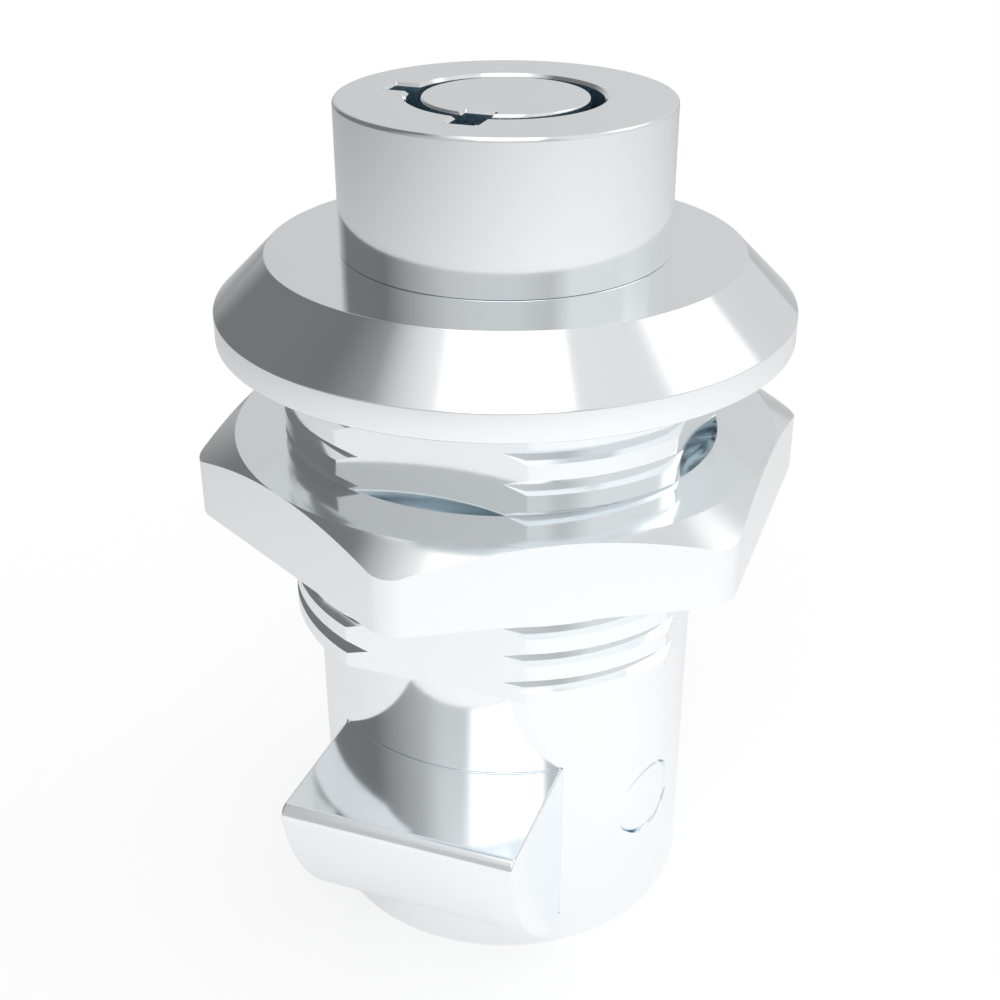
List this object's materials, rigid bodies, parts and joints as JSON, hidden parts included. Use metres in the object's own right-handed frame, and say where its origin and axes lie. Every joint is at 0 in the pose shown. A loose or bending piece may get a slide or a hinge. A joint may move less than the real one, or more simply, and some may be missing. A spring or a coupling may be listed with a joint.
{
  "type": "push-to-close latch",
  "caption": "Push-to-close panel latch: round knob with a tubular key lock, threaded body with a hexagon nut, and a spring bolt that slides out sideways.",
  "frame": {"origin": "On the latch's axis, in the plane of the bezel's underside, which is the outer face of the panel.", "axes": "+Z points out of the panel through the knob. The latch bolt points along -Y. +X is to the right when the latch is seen from the bolt's side with the knob up."},
  "size_m": [0.028, 0.0307, 0.0424],
  "materials": {
    "chrome_plated_body": "bright chrome plate on a zinc casting",
    "chrome_plated_nut": "bright plate, slightly satin from turning",
    "chrome_plated_knob": "bright chrome plate, polished",
    "chrome_plated_bolt": "bright plate, polished",
    "ground_steel": "ground steel",
    "spring_steel": "spring wire and spring strip",
    "inner_steel": "zinc-plated steel",
    "lock_brass": "machined brass",
    "seal_rubber": "black nitrile rubber"
  },
  "bodies": {
    "housing": {"housing": "chrome_plated_body", "bolt_guide": "chrome_plated_body", "guide_pins": "ground_steel", "knob_clip": "spring_steel", "return_spring": "spring_steel", "bolt_spring": "spring_steel"},
    "nut": {"mounting_nut": "chrome_plated_nut"},
    "knob": {"knob": "chrome_plated_knob", "knob_seal": "seal_rubber", "lock_sleeve": "lock_brass", "tumbler_block": "lock_brass", "driver_pins": "ground_steel", "tumbler_springs": "spring_steel", "lock_pin": "ground_steel"},
    "plug": {"lock_plug": "chrome_plated_knob", "key_pins": "lock_brass", "lock_cam": "inner_steel", "cam_clip": "spring_steel"},
    "slider": {"clutch_slider": "inner_steel"},
    "spindle": {"drive_spindle": "inner_steel", "drive_pin": "ground_steel"},
    "bolt": {"latch_bolt": "chrome_plated_bolt"}
  },
  "joints": [
    {"name": "knob_turn", "type": "hinge", "parent": "housing", "child": "knob", "pos_m": [0, 0, 0], "axis": [0, 0, 1], "range_deg": [-90, 0], "stiffness_Nm_per_rad": 0.01, "springref_deg": 22.92},
    {"name": "plug_turn", "type": "hinge", "parent": "knob", "child": "plug", "pos_m": [0, 0, 0.004], "axis": [0, 0, 1], "range_deg": [-90, 0]},
    {"name": "slider_slide", "type": "slide", "parent": "knob", "child": "slider", "axis": [1, 0, 0], "range_m": [-0.00099, 0]},
    {"name": "spindle_turn", "type": "hinge", "parent": "housing", "child": "spindle", "pos_m": [0, 0, -0.017], "axis": [0, 0, 1], "range_deg": [-90, 0], "deforming": ["return_spring"]},
    {"name": "bolt_slide", "type": "slide", "parent": "housing", "child": "bolt", "axis": [0, 1, 0], "range_m": [0, 0.0055], "stiffness_N_per_m": 20, "springref_m": -0.003, "deforming": ["bolt_spring"]},
    {"name": "nut_travel", "type": "slide", "parent": "housing", "child": "nut", "axis": [0, 0, 1], "range_m": [-0.0045, 0.0045]}
  ],
  "couplings": [
    {"joint": "knob_turn", "follows": "bolt_slide", "rad_per_m": -285.6},
    {"joint": "spindle_turn", "follows": "bolt_slide", "rad_per_m": -285.6},
    {"joint": "plug_turn", "follows": "slider_slide", "rad_per_m": 1586.6}
  ]
}
